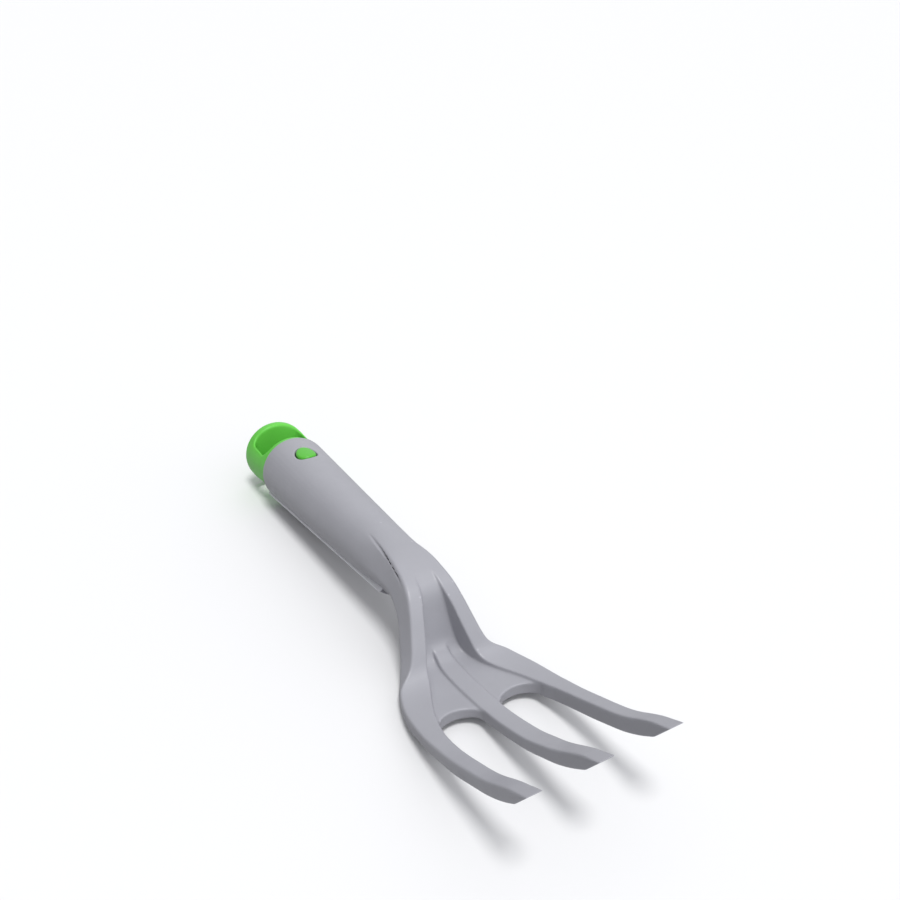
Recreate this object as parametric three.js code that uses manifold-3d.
// Hand cultivator: a one-piece moulded three-tine head and handle shell, a snap-in
// cover that closes the underside of the handle, a green end cap with a hanging slot,
// and the sprung latch tongue whose button shows through a window in the handle.
//
// Units are millimetres, +Z is up. The tool lies on a table (z = 0) on its handle end
// and on the belly of the fork. +X runs from the hanging slot towards the tine tips,
// the part is mirror symmetric about y = 0, and the origin is the centre of its footprint.
//
// The grip frame has its origin at the centre of the handle's open end, +X along the
// grip axis towards the tines and +Z towards the top of the grip. "Along" is x in it.

import * as THREE from 'three';
import { mergeVertices } from 'three/addons/utils/BufferGeometryUtils.js';
import Module from 'manifold-3d';

const { degToRad, radToDeg, lerp, smoothstep } = THREE.MathUtils;

// ---------------------------------------------------------------- shared dimensions
const SEAT = [1.291, 0, 0.52];              // puts the footprint's centre and the table at the origin
const HANDLE_START = [-116.37, 0, 18.3];    // centre of the handle's open end
const HANDLE_PITCH = degToRad(4.4);         // the grip rises towards the head
const HANDLE_START_RADIUS = 17.6;
const HANDLE_TAPER = 0.0431;                // radius lost per mm along the grip
const HANDLE_WALL = 2.8;
const GAP = 0.3;                            // clearance between separate pieces

const COVER_HALF_ANGLE = 52;                // degrees either side of straight down
const COVER_END = 120;

const TONGUE_ROOT = 3.6;
const TONGUE_HALF_WIDTH = 4.6;
const BUTTON_FROM = 13.9;
const BUTTON_TO = 26.3;
const BUTTON_HALF_WIDTH = 5.0;
const BUTTON_CURVE_SEGMENTS = 8;

const gripRadius = (along) => HANDLE_START_RADIUS - HANDLE_TAPER * along;
const gripMatrix = new THREE.Matrix4().makeRotationY(-HANDLE_PITCH).setPosition(...HANDLE_START);

// ---------------------------------------------------------------- materials
const plastic = ({ color, roughness }) => (
  new THREE.MeshStandardMaterial({ color, roughness, metalness: 0 })
);
const materials = {
  greyShell: plastic({ color: 0xa2a4aa, roughness: 0.48 }),
  greyCover: plastic({ color: 0x9c9ea4, roughness: 0.5 }),
  greenCap: plastic({ color: 0x62bf3c, roughness: 0.38 }),
  greenLatch: plastic({ color: 0x5cc63c, roughness: 0.34 }),
};

// ---------------------------------------------------------------- solids and geometries
const wasm = await Module();
wasm.setup();

const WELD_DISTANCE = 1e-5;

// Welds a closed geometry into a Manifold solid and turns it outside out if needed.
function toSolid(geometry) {
  const bare = new THREE.BufferGeometry();
  bare.setAttribute('position', geometry.getAttribute('position'));
  bare.setIndex(geometry.index);
  const welded = mergeVertices(bare, WELD_DISTANCE);
  const index = welded.index.array;
  const triangles = [];
  for (let i = 0; i < index.length; i += 3) {
    const [a, b, c] = [index[i], index[i + 1], index[i + 2]];
    if (a !== b && b !== c && c !== a) triangles.push([a, b, c]);
  }
  const build = (faces) => new wasm.Manifold(new wasm.Mesh({
    numProp: 3,
    vertProperties: new Float32Array(welded.attributes.position.array),
    triVerts: new Uint32Array(faces.flat()),
  }));
  const solid = build(triangles);
  return solid.volume() < 0 ? build(triangles.map(([a, b, c]) => [a, c, b])) : solid;
}

function toGeometry(solid) {
  const mesh = solid.getMesh();
  const geometry = new THREE.BufferGeometry();
  geometry.setAttribute('position', new THREE.Float32BufferAttribute(mesh.vertProperties, 3));
  geometry.setIndex(new THREE.Uint32BufferAttribute(mesh.triVerts, 1));
  geometry.computeVertexNormals();
  return geometry;
}

// Solid placed from the grip frame into the frame of the body.
const gripSolid = (geometry) => toSolid(geometry.applyMatrix4(gripMatrix));

// Closed skin through sections { ring, outline }: the ring holds the points in space and
// the outline the same points in the section's own plane. All outlines wind the same way.
function loft(sections) {
  const first = sections[0];
  const last = sections[sections.length - 1];
  const count = first.ring.length;
  const positions = sections.flatMap(({ ring }) => ring.flatMap((point) => point.toArray()));
  const triangles = [];
  for (let i = 0; i + 1 < sections.length; i++) {
    for (let j = 0; j < count; j++) {
      const a = i * count + j;
      const b = i * count + (j + 1) % count;
      const c = a + count;
      const d = b + count;
      triangles.push(a, b, d, a, d, c);
    }
  }
  for (const [a, b, c] of THREE.ShapeUtils.triangulateShape(first.outline, [])) {
    triangles.push(a, c, b);
  }
  const offset = (sections.length - 1) * count;
  for (const [a, b, c] of THREE.ShapeUtils.triangulateShape(last.outline, [])) {
    triangles.push(offset + a, offset + b, offset + c);
  }
  const geometry = new THREE.BufferGeometry();
  geometry.setAttribute('position', new THREE.Float32BufferAttribute(positions, 3));
  geometry.setIndex(triangles);
  return geometry;
}

// Turned geometry about the x axis; the profile holds [along, radius].
function revolve(profile, segments) {
  const points = profile.map(([along, radius]) => new THREE.Vector2(radius, along));
  return new THREE.LatheGeometry(points, segments).rotateZ(-Math.PI / 2);
}

// Shape in the xy plane, extruded upwards from bottomZ.
function prism(shape, { bottomZ, height, curveSegments = 1 }) {
  const options = { depth: height, bevelEnabled: false, curveSegments };
  return new THREE.ExtrudeGeometry(shape, options).translate(0, 0, bottomZ);
}

const polygon = (points) => new THREE.Shape(points.map(([x, y]) => new THREE.Vector2(x, y)));

// Point around the grip axis, at an angle in degrees from straight down towards +y.
function polar(radius, degrees) {
  const angle = degToRad(degrees);
  return new THREE.Vector2(radius * Math.sin(angle), -radius * Math.cos(angle));
}

function arc(radius, fromDegrees, toDegrees, steps) {
  return Array.from({ length: steps + 1 }, (_, i) => (
    polar(radius, fromDegrees + ((toDegrees - fromDegrees) * i) / steps)
  ));
}

// Geometry along the grip axis whose cross-section is outlineAt(along).
const SECTOR_STEPS = 4;
function sector(from, to, outlineAt) {
  const sections = [];
  for (let i = 0; i <= SECTOR_STEPS; i++) {
    const along = lerp(from, to, i / SECTOR_STEPS);
    const outline = outlineAt(along);
    sections.push({ ring: outline.map(({ x, y }) => new THREE.Vector3(along, x, y)), outline });
  }
  return loft(sections);
}

// Egg-shaped outline of the button, grown outwards for the window around it.
function buttonShape(growth) {
  const start = BUTTON_FROM - growth;
  const end = BUTTON_TO + growth;
  const width = BUTTON_HALF_WIDTH + growth;
  const taper = start + 2.2;
  const shoulder = start + 5.6;
  const flank = start + 9.2;
  const shape = new THREE.Shape();
  shape.moveTo(start, 0);
  shape.bezierCurveTo(start, 0.42 * width, taper, 0.72 * width, shoulder, 0.92 * width);
  shape.bezierCurveTo(flank, 1.1 * width, end, 0.86 * width, end, 0);
  shape.bezierCurveTo(end, -0.86 * width, flank, -1.1 * width, shoulder, -0.92 * width);
  shape.bezierCurveTo(taper, -0.72 * width, start, -0.42 * width, start, 0);
  return shape;
}

// ---------------------------------------------------------------- fork body: outer skin
// Round stations of the grip: [along, radius], where a missing radius follows the taper.
const GRIP_STATIONS = [
  [0, 15.1], [0.6, 16.45], [1.5, 17.15], [2.9], [20], [40], [60], [80], [96],
];
const NECK_START = 100;                     // grip station where the splined neck begins
const SPLINE_STEPS = 2;                     // sections per station interval
const TIP_STEPS = 3;                        // sections in the straight last interval

// Section sizes behind a round grip station, in the column order of STATIONS from
// shoulderY to railed; they only guide the spline into the neck.
const GRIP_SECTION = [7.4, 13, 8.9, 8.6, 4, 0, 1.6, 0, 0];

// Stations of the neck, belly and tines. Each row is one cross-section:
//  topX, topZ        top reference point       bottomX, bottomZ  bottom reference point
//  shoulderY         half width at the upper outer edge
//  middleY           half width at mid wall
//  cornerY           half width at the lower corner
//  cornerHeight      height of that corner above the bottom
//  recessY           half width of the recess between the rails
//  recessDepth       depth of the recess floor
//  tineY             half width of the middle tine
//  tineDepth         depth of its top below the rails
//  railed            0 = round grip section, 1 = railed section
const STATIONS = [
  [-8.24, 39.75, -6.39, 13.95, 7.3, 13.2, 8.9, 8.6, 4, 0, 1.6, 0, 0.2],
  [1.75, 39.95, 3.71, 14.8, 7.5, 12.9, 8.8, 8.8, 4, 0, 1.6, 0, 0.6],
  [11.25, 39.95, 10.2, 15.1, 8.1, 12.7, 8.6, 9, 4, 0, 1.6, 0, 0.9],
  [18.26, 39.2, 14.31, 14.6, 8.9, 12.6, 8.6, 9, 4, 0, 1.6, 0, 1],
  [22.96, 38.1, 16.51, 13.8, 9.4, 12.7, 8.9, 8.5, 4.2, 0.05, 1.8, 0.05, 1],
  [27.1, 36.6, 18.71, 12.7, 10.1, 13, 9.4, 7.8, 4.3, 0.55, 2, 0.55, 1],
  [31.4, 34, 21.2, 11.31, 11, 13.6, 10.2, 7, 4.5, 1.6, 2.2, 1.6, 1],
  [35.6, 29.4, 24.93, 9.33, 12.3, 14.8, 11.8, 6, 5.5, 5.3, 2.5, 5.3, 1],
  [39.25, 23.92, 28.95, 6.76, 13.8, 16.5, 14.4, 5, 6.7, 8.3, 2.8, 8.3, 1],
  [42.58, 18.44, 33.46, 4.39, 15.3, 18.2, 16.8, 4, 8, 10.2, 3.2, 10.2, 1],
  [45.11, 13.96, 37.48, 2.61, 16.8, 20, 18.9, 3, 9.2, 9.5, 3.5, 7.9, 1],
  [47.13, 10.57, 41.98, 0.7, 19.4, 22, 21, 2, 10.2, 6.7, 3.9, 5.2, 1],
  [49.94, 8.39, 46.99, -0.25, 24, 24.6, 23.4, 1.4, 11.5, 3.9, 4.1, 2.9, 1],
  [53.95, 7.51, 52.99, -0.5, 26.7, 26.8, 25.2, 1.1, 13.3, 2.3, 4.1, 1.8, 1],
  [59.94, 7.75, 60.49, -0.2, 28.8, 28.9, 27.4, 1, 16.2, 1.6, 4.1, 1.45, 1],
  [65.94, 8.59, 66.98, 1.25, 30, 30.2, 29.3, 1, 18.9, 1.35, 4.1, 1.4, 1],
  [71.93, 9.72, 73.57, 3.13, 30.7, 30.8, 30, 1, 21, 1.3, 4.1, 1.5, 1],
  [77.92, 11.06, 79.86, 4.77, 31.2, 31.3, 30.5, 1, 22.5, 1.3, 4.1, 1.6, 1],
  [83.91, 12.8, 86.05, 6.71, 31.5, 31.6, 30.8, 1, 23.7, 1.3, 4.1, 1.8, 1],
  [90.4, 14.93, 92.74, 8.95, 31.6, 31.7, 30.9, 1, 24.5, 1.3, 4.1, 2, 1],
  [96.89, 17.27, 99.42, 11.39, 31.8, 31.9, 31.1, 1, 24.9, 1.3, 4.1, 2.1, 1],
  [103.87, 20.12, 106.51, 14.23, 31.8, 31.9, 31.1, 1, 25.1, 1.3, 4.1, 2.2, 1],
  [110.85, 23.16, 113.69, 17.48, 31.6, 31.7, 30.9, 1, 25.1, 1.3, 4, 1.7, 1],
  [117.33, 26.1, 120.27, 20.52, 31.5, 31.6, 30.8, 1, 25.1, 1.3, 3.85, 1.2, 1],
  [123.31, 29.44, 126.45, 23.96, 31.4, 31.5, 30.7, 1, 25.15, 1.3, 3.65, 0.8, 1],
  [128.79, 33.07, 132.02, 27.79, 31.3, 31.4, 30.6, 1, 25.15, 1.3, 3.45, 0.6, 1],
  [133.37, 36, 136.5, 31.32, 31.2, 31.3, 30.5, 1, 25.1, 1.3, 3.3, 0.5, 1],
  [143.14, 40.96, 143, 40.46, 30.9, 30.95, 30.9, 0.1, 24.6, 0.2, 3.35, 0.5, 1],
];

const CROWNED_ABOVE = 1.05;                 // taller lower corners get an elliptical belly
const FULL_DETAIL_HEIGHT = 6;               // lower sections scale their edge rounding down
const KEEL_RISE = 0.5;                      // lift of the centre line's underside...
const KEEL_MIN_HEIGHT = 3;                  // ...on sections taller than this
const KEEL_FADE_X = [58, 76];               // where that underside takes on tineDepth

function gripRow(along, radius = gripRadius(along)) {
  const axis = new THREE.Vector3(along, 0, 0).applyMatrix4(gripMatrix);
  const upX = -Math.sin(HANDLE_PITCH) * radius;
  const upZ = Math.cos(HANDLE_PITCH) * radius;
  return [axis.x + upX, axis.z + upZ, axis.x - upX, axis.z - upZ, ...GRIP_SECTION];
}

// Catmull-Rom blend of each column between rows i and i + 1; row i + 2 must exist.
function splineRow(rows, i, t) {
  const before = rows[Math.max(0, i - 1)];
  return rows[i].map((b, column) => {
    const a = before[column];
    const c = rows[i + 1][column];
    const d = rows[i + 2][column];
    const quadratic = 2 * a - 5 * b + 4 * c - d;
    const cubic = 3 * b - a - 3 * c + d;
    return 0.5 * (2 * b + (c - a) * t + quadratic * t * t + cubic * t * t * t);
  });
}

function section(row) {
  const [
    topX, topZ, bottomX, bottomZ, shoulderY, middleY, cornerY, cornerHeight,
    recessY, recessDepth, tineY, tineDepth, railed,
  ] = row;
  const height = Math.hypot(bottomX - topX, bottomZ - topZ);
  const radius = height / 2;
  const detail = Math.min(1, height / FULL_DETAIL_HEIGHT);
  const crowned = cornerHeight > CROWNED_ABOVE;
  const keel = height - (height > KEEL_MIN_HEIGHT ? KEEL_RISE : 0)
    + tineDepth * smoothstep(topX, ...KEEL_FADE_X);
  const belly = (y) => {
    if (!crowned) return height;
    return height - cornerHeight * (1 - Math.sqrt(Math.max(0, 1 - (y / cornerY) ** 2)));
  };
  const lowerWall = height - (height * 0.5 - cornerHeight) * 0.45 - cornerHeight;

  // Railed half section as [y, depth below the top], from top centre to bottom centre.
  const profile = [
    // top of the middle tine
    [0, tineDepth],
    [0.7 * tineY, tineDepth],
    [tineY - 0.25, tineDepth + 0.4 * detail],
    [tineY + 0.12, Math.max(recessDepth, tineDepth) - 0.05 * detail],
    // recess floor and its outer side
    [(tineY + recessY) / 2, recessDepth],
    [recessY - 0.15, recessDepth],
    [recessY + 0.1, Math.min(recessDepth, 0.55 * detail)],
    // top of the rail
    [recessY + 0.9, 0],
    [(recessY + shoulderY) / 2, 0],
    [shoulderY - 1.2, 0.18 * detail],
    [shoulderY - 0.1, 1.15 * detail],
    // outer wall
    [shoulderY + (middleY - shoulderY) * 0.6, height * 0.3],
    [middleY, height * 0.5],
    [middleY + (cornerY - middleY) * 0.35, lowerWall],
    [cornerY, height - cornerHeight],
    // underside
    [cornerY * 0.86, belly(cornerY * 0.86)],
    [cornerY * 0.6, belly(cornerY * 0.6)],
    [crowned ? cornerY * 0.3 : tineY + 0.6, belly(cornerY * 0.3)],
    [0, crowned ? height : keel],
  ];
  const half = profile.map(([y, depth], i) => {
    const angle = (i / (profile.length - 1)) * Math.PI;
    return [
      lerp(radius * Math.sin(angle), y, railed),
      lerp(radius * (1 - Math.cos(angle)), depth, railed),
    ];
  });
  const mirrored = half.slice(1, -1).reverse().map(([y, depth]) => [-y, depth]);
  const full = [...half, ...mirrored];
  const downX = (bottomX - topX) / height;
  const downZ = (bottomZ - topZ) / height;
  return {
    ring: full.map(([y, depth]) => (
      new THREE.Vector3(topX + downX * depth, y, topZ + downZ * depth)
    )),
    outline: full.map(([y, depth]) => new THREE.Vector2(y, depth)),
  };
}

function outerSkin() {
  const rows = GRIP_STATIONS.map(([along, radius]) => gripRow(along, radius));
  const table = [gripRow(NECK_START), ...STATIONS];
  const last = table.length - 1;
  for (let i = 0; i < last - 1; i++) {
    for (let j = 0; j < SPLINE_STEPS; j++) rows.push(splineRow(table, i, j / SPLINE_STEPS));
  }
  for (let j = 0; j <= TIP_STEPS; j++) {
    rows.push(table[last].map((end, k) => lerp(table[last - 1][k], end, j / TIP_STEPS)));
  }
  return toSolid(loft(rows.map(section)));
}

// ---------------------------------------------------------------- fork body: openings
// Plan of the window between the middle and the +y tine, as [x, y] along its two sides.
const TINE_WINDOW_INNER = [
  [79, 4.0], [90, 4.0], [103.9, 4.0], [110.9, 3.9], [117.3, 3.75],
  [123.3, 3.55], [128.8, 3.35], [133.4, 3.2], [143.2, 3.25], [150, 3.25],
];
const TINE_WINDOW_OUTER = [
  [79, 22.75], [83.9, 23.9], [90.4, 24.7], [96.9, 25.1], [103.9, 25.3],
  [117.3, 25.3], [128.8, 25.35], [133.4, 25.3], [143.2, 24.75], [150, 24.4],
];
const TINE_WINDOW_APEX_X = 71.2;            // where its half-elliptical root ends
const TINE_WINDOW_ROOT_STEPS = 12;

const BORE_DEPTH = 106;
const BORE_CHAMFER_LENGTH = 6;
const BORE_END_RADIUS = 4;
const BORE_OVERSHOOT = 3;                   // beyond the open end
const BORE_SEGMENTS = 40;

const COVER_CUT_START = -4;
const COVER_CUT_OUTSIDE = 5;                // reach outside the grip surface
const COVER_CUT_INSIDE = 3.5;               // reach inside the bore
const BUTTON_WINDOW_GAP = 0.7;              // clearance around the button

function tineWindow() {
  const [rootX, innerY] = TINE_WINDOW_INNER[0];
  const outerY = TINE_WINDOW_OUTER[0][1];
  const centreY = (innerY + outerY) / 2;
  const radiusY = (outerY - innerY) / 2;
  const radiusX = rootX - TINE_WINDOW_APEX_X;
  const root = [];
  for (let i = 1; i < TINE_WINDOW_ROOT_STEPS; i++) {
    const angle = (i / TINE_WINDOW_ROOT_STEPS) * Math.PI;
    root.push([rootX - radiusX * Math.sin(angle), centreY - radiusY * Math.cos(angle)]);
  }
  const outline = [...[...TINE_WINDOW_INNER].reverse(), ...root, ...TINE_WINDOW_OUTER];
  return prism(polygon(outline), { bottomZ: -10, height: 70 });
}

function bore() {
  const chamferStart = BORE_DEPTH - BORE_CHAMFER_LENGTH;
  return revolve([
    [-BORE_OVERSHOOT, 0],
    [-BORE_OVERSHOOT, HANDLE_START_RADIUS - HANDLE_WALL],
    [chamferStart, gripRadius(chamferStart) - HANDLE_WALL],
    [BORE_DEPTH, BORE_END_RADIUS],
    [BORE_DEPTH, 0],
  ], BORE_SEGMENTS);
}

function coverOpening() {
  return sector(COVER_CUT_START, COVER_END + GAP, (along) => {
    const radius = gripRadius(Math.max(0, along));
    const angle = COVER_HALF_ANGLE + radToDeg(GAP / radius);
    return [
      ...arc(radius + COVER_CUT_OUTSIDE, -angle, angle, 10),
      ...arc(radius - HANDLE_WALL - COVER_CUT_INSIDE, angle, -angle, 6),
    ];
  });
}

function buttonWindow() {
  return prism(buttonShape(BUTTON_WINDOW_GAP), {
    bottomZ: 8,
    height: 14,
    curveSegments: BUTTON_CURVE_SEGMENTS,
  });
}

function makeForkBody() {
  return outerSkin()
    .subtract(toSolid(tineWindow()))
    .subtract(toSolid(tineWindow().scale(1, -1, 1)))
    .subtract(gripSolid(bore()))
    .subtract(gripSolid(coverOpening()))
    .subtract(gripSolid(buttonWindow()));
}

// ---------------------------------------------------------------- underside cover
const COVER_START = 1.2;
const COVER_PROUD = 0.55;                   // lip of the cover outside the shell
const COVER_OVERLAP = 0.4;                  // its inner face stands this far outside the bore
const RAIL_START = 18;                      // beyond the cap's plug
const RAIL_END = 98;
const RAIL_THICKNESS = 1.5;
const RAIL_STEP = 1.2;                      // rise of the rail's root into the cover
const RAIL_REACH = 7;                       // degrees past the cover's edge
const RAIL_ROOT = 4;                        // degrees back from the cover's edge

// Snap rail inside one edge of the shell; side is +1 or -1 in y.
function snapRail(side) {
  return sector(RAIL_START, RAIL_END, (along) => {
    const outer = gripRadius(along) - HANDLE_WALL - GAP;
    const edge = COVER_HALF_ANGLE;
    const points = [
      polar(outer + RAIL_STEP, edge - RAIL_ROOT),
      polar(outer + RAIL_STEP, edge - 0.8),
      polar(outer, edge - 0.4),
      polar(outer, edge + RAIL_REACH),
      polar(outer - RAIL_THICKNESS, edge + RAIL_REACH),
      polar(outer - RAIL_THICKNESS, edge - RAIL_ROOT),
    ];
    if (side > 0) return points;
    return points.map(({ x, y }) => new THREE.Vector2(-x, y)).reverse();
  });
}

function makeCover() {
  const plate = sector(COVER_START, COVER_END, (along) => {
    const radius = gripRadius(along);
    const inner = radius - HANDLE_WALL + COVER_OVERLAP;
    return [
      ...arc(radius + COVER_PROUD, -COVER_HALF_ANGLE, COVER_HALF_ANGLE, 12),
      ...arc(inner, COVER_HALF_ANGLE, -COVER_HALF_ANGLE, 10),
    ];
  });
  return toSolid(plate).add(toSolid(snapRail(1))).add(toSolid(snapRail(-1)));
}

// ---------------------------------------------------------------- end cap
const CAP_ROOT_RADIUS = 16.2;               // beside the handle
const CAP_TIP_RADIUS = 16.9;
const CAP_LENGTH = 28.3;                    // beyond the handle's end
const CAP_SEGMENTS = 48;
const PLUG_RADIUS = 12.4;
const PLUG_LENGTH = 14.5;
const PLUG_CHAMFER = 1;

const SLOT = { from: -22.4, to: -4.4, halfWidth: 13.2, cornerRadius: 4.2, height: 44 };
const SLOT_CURVE_SEGMENTS = 5;

// Notch in the plug that clears the latch tongue.
const NOTCH_LENGTH = PLUG_LENGTH + 4;
const NOTCH_HEIGHT = 12;
const NOTCH_FLOOR = 7.4;                    // above the axis
const NOTCH_SIDE_GAP = 0.7;
const NOTCH_ROOT_GAP = 0.45;                // clearance behind the tongue's root

// Half outline from the plug's face to the far end: [along, radius].
const CAP_PROFILE = [
  [PLUG_LENGTH, 0],
  [PLUG_LENGTH, PLUG_RADIUS - PLUG_CHAMFER],
  [PLUG_LENGTH - PLUG_CHAMFER, PLUG_RADIUS],
  [-GAP, PLUG_RADIUS],
  [-GAP, CAP_ROOT_RADIUS - 0.5],
  [-GAP - 0.5, CAP_ROOT_RADIUS],
  [-5, CAP_ROOT_RADIUS + 0.08],
  [-9, CAP_ROOT_RADIUS + 0.23],
  [-15, CAP_ROOT_RADIUS + 0.5],
  [-20, CAP_TIP_RADIUS - 0.07],
  [-25.6, CAP_TIP_RADIUS],
  [-CAP_LENGTH + 1.1, CAP_TIP_RADIUS - 0.4],
  [-CAP_LENGTH + 0.3, CAP_TIP_RADIUS - 1.1],
  [-CAP_LENGTH, CAP_TIP_RADIUS - 2.1],
  [-CAP_LENGTH, 0],
];

function hangingSlot() {
  const { from, to, halfWidth, cornerRadius, height } = SLOT;
  const nearX = to - cornerRadius;
  const farX = from + cornerRadius;
  const cornerY = halfWidth - cornerRadius;
  const centres = [[nearX, -cornerY], [nearX, cornerY], [farX, cornerY], [farX, -cornerY]];
  const shape = new THREE.Shape();
  centres.forEach(([x, y], i) => {
    shape.absarc(x, y, cornerRadius, ((i - 1) * Math.PI) / 2, (i * Math.PI) / 2);
  });
  return prism(shape, { bottomZ: -height / 2, height, curveSegments: SLOT_CURVE_SEGMENTS });
}

function tongueNotch() {
  const width = 2 * (TONGUE_HALF_WIDTH + NOTCH_SIDE_GAP);
  const centreX = NOTCH_LENGTH / 2 + TONGUE_ROOT - NOTCH_ROOT_GAP;
  return new THREE.BoxGeometry(NOTCH_LENGTH, width, NOTCH_HEIGHT)
    .translate(centreX, 0, NOTCH_FLOOR + NOTCH_HEIGHT / 2);
}

function makeEndCap() {
  return toSolid(revolve(CAP_PROFILE, CAP_SEGMENTS))
    .subtract(toSolid(hangingSlot()))
    .subtract(toSolid(tongueNotch()));
}

// ---------------------------------------------------------------- latch tongue with button
const TONGUE_END = 28;
const TONGUE_BOTTOM = 9.8;                  // heights are above the grip axis
const TONGUE_TOP = 12;
const TONGUE_CHAMFER = 0.8;
const BUTTON_TOP = 17.15;                   // just proud of the grip
const BUTTON_SINK = 1;                      // overlap of the button into the tongue
const BUTTON_BEVEL = 0.5;

function makeLatch() {
  const side = polygon([
    [TONGUE_ROOT, TONGUE_BOTTOM],
    [TONGUE_END, TONGUE_BOTTOM],
    [TONGUE_END, TONGUE_TOP - TONGUE_CHAMFER],
    [TONGUE_END - TONGUE_CHAMFER, TONGUE_TOP],
    [TONGUE_ROOT, TONGUE_TOP],
  ]);
  const bar = prism(side, { bottomZ: -TONGUE_HALF_WIDTH, height: 2 * TONGUE_HALF_WIDTH })
    .rotateX(Math.PI / 2);
  const buttonBottom = TONGUE_TOP - BUTTON_SINK;
  const button = new THREE.ExtrudeGeometry(buttonShape(0), {
    depth: BUTTON_TOP - buttonBottom - BUTTON_BEVEL,
    bevelEnabled: true,
    bevelThickness: BUTTON_BEVEL,
    bevelSize: BUTTON_BEVEL,
    bevelOffset: -BUTTON_BEVEL,
    bevelSegments: 2,
    curveSegments: BUTTON_CURVE_SEGMENTS,
  }).translate(0, 0, buttonBottom);
  return toSolid(bar).add(toSolid(button));
}

// ---------------------------------------------------------------- scene graph
function addPart(parent, name, solid, material) {
  const mesh = new THREE.Mesh(toGeometry(solid), material);
  mesh.name = name;
  parent.add(mesh);
}

const cultivator = new THREE.Group();
cultivator.position.set(...SEAT);
addPart(cultivator, 'fork_body', makeForkBody(), materials.greyShell);

const grip = new THREE.Group();
grip.rotation.y = -HANDLE_PITCH;
grip.position.set(...HANDLE_START);
cultivator.add(grip);
addPart(grip, 'handle_underside_cover', makeCover(), materials.greyCover);
addPart(grip, 'end_cap', makeEndCap(), materials.greenCap);
addPart(grip, 'latch_tongue', makeLatch(), materials.greenLatch);

export default cultivator;
